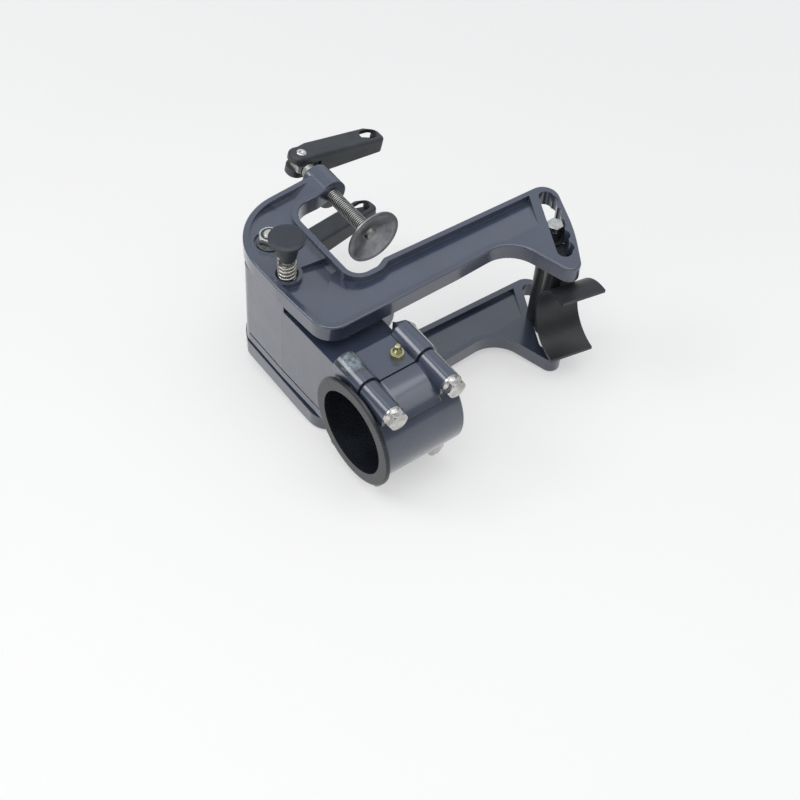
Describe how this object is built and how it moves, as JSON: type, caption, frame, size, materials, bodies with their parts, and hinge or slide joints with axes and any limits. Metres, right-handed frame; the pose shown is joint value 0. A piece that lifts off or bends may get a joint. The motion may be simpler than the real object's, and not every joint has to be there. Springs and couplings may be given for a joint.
{
  "type": "outboard swivel bracket",
  "caption": "Transom clamp brackets with a tilting swivel bracket and split steering barrel for a small outboard motor, with clamp screws, folding handles, tilt lock and thrust saddle.",
  "frame": {"origin": "middle of the steering bore on its axis", "axes": "+X along the steering bore towards the lower end of the clamp arms, +Y inboard towards the clamp screws, +Z along the tilt axis towards the tilt lock"},
  "size_m": [0.2111, 0.2373, 0.149],
  "materials": {
    "casting_paint": "satin dark blue-grey marine paint on cast aluminium",
    "zinc_steel": "bright zinc plate",
    "screw_steel": "plain stainless steel",
    "pad_steel": "worn plain steel",
    "spring_steel": "stainless spring wire",
    "nipple_passivated": "yellow passivated zinc",
    "liner_plastic": "black moulded liner",
    "bush_plastic": "black moulded bush",
    "knob_plastic": "black moulded knob",
    "handle_black": "black coated pressed steel",
    "saddle_plastic": "black moulded saddle"
  },
  "bodies": {
    "clamp_brackets": {"upper_clamp_bracket": "casting_paint", "lower_clamp_bracket": "casting_paint", "tilt_bolt": "zinc_steel", "tilt_bolt_nut": "zinc_steel", "tilt_bolt_washer": "zinc_steel", "tilt_lock_spring": "spring_steel"},
    "swivel": {"swivel_bracket": "casting_paint", "barrel_cap": "casting_paint", "steering_liner": "liner_plastic", "cap_bolts": "zinc_steel", "cap_spring_washers": "zinc_steel", "grease_nipple": "nipple_passivated", "upper_tilt_bush": "bush_plastic", "lower_tilt_bush": "bush_plastic"},
    "tilt_lock": {"tilt_lock_pin": "zinc_steel", "tilt_lock_knob": "knob_plastic", "knob_roll_pin": "zinc_steel"},
    "upper_pad": {"upper_clamp_pad": "pad_steel"},
    "upper_screw": {"upper_clamp_screw": "screw_steel"},
    "upper_handle": {"upper_clamp_handle": "handle_black", "upper_handle_rivet": "zinc_steel"},
    "lower_pad": {"lower_clamp_pad": "pad_steel"},
    "lower_screw": {"lower_clamp_screw": "screw_steel"},
    "lower_handle": {"lower_clamp_handle": "handle_black", "lower_handle_rivet": "zinc_steel"},
    "trim": {"trim_rod": "zinc_steel", "trim_rod_nut": "zinc_steel", "trim_rod_collars": "zinc_steel"},
    "saddle": {"thrust_saddle": "saddle_plastic"}
  },
  "joints": [
    {"name": "tilt", "type": "hinge", "parent": "clamp_brackets", "child": "swivel", "pos_m": [-0.0086, 0.1266, 0], "axis": [0, 0, -1], "range_deg": [0, 70]},
    {"name": "tilt_lock_press", "type": "slide", "parent": "clamp_brackets", "child": "tilt_lock", "axis": [0, 0, -1], "range_m": [0, 0.01], "stiffness_N_per_m": 600, "springref_m": -0.004, "deforming": ["tilt_lock_spring"]},
    {"name": "upper_clamp_feed", "type": "slide", "parent": "clamp_brackets", "child": "upper_pad", "axis": [0, 1, 0], "range_m": [-0.0075, 0.036]},
    {"name": "upper_clamp_turn", "type": "hinge", "parent": "upper_pad", "child": "upper_screw", "pos_m": [0.0553, 0.1855, 0.043], "axis": [0, 1, 0], "continuous": true},
    {"name": "upper_handle_fold", "type": "hinge", "parent": "upper_screw", "child": "upper_handle", "pos_m": [0.0553, 0.1855, 0.043], "axis": [0.2079, 0, 0.9781], "range_deg": [0, 90]},
    {"name": "lower_clamp_feed", "type": "slide", "parent": "clamp_brackets", "child": "lower_pad", "axis": [0, 1, 0], "range_m": [-0.0045, 0.039]},
    {"name": "lower_clamp_turn", "type": "hinge", "parent": "lower_pad", "child": "lower_screw", "pos_m": [0.0553, 0.1825, -0.043], "axis": [0, 1, 0], "continuous": true},
    {"name": "lower_handle_fold", "type": "hinge", "parent": "lower_screw", "child": "lower_handle", "pos_m": [0.0553, 0.1825, -0.043], "axis": [0, 0, 1], "range_deg": [-6, 84]},
    {"name": "trim_adjust", "type": "slide", "parent": "clamp_brackets", "child": "trim", "axis": [0.4493, 0.8934, 0], "range_m": [-0.022, 0.022]},
    {"name": "saddle_swing", "type": "hinge", "parent": "trim", "child": "saddle", "pos_m": [0.1584, 0.0346, 0], "axis": [0, 0, 1], "range_deg": [-15, 15]}
  ],
  "couplings": [
    {"joint": "upper_clamp_turn", "follows": "upper_clamp_feed", "rad_per_m": 4188.8},
    {"joint": "lower_clamp_turn", "follows": "lower_clamp_feed", "rad_per_m": 4188.8}
  ]
}
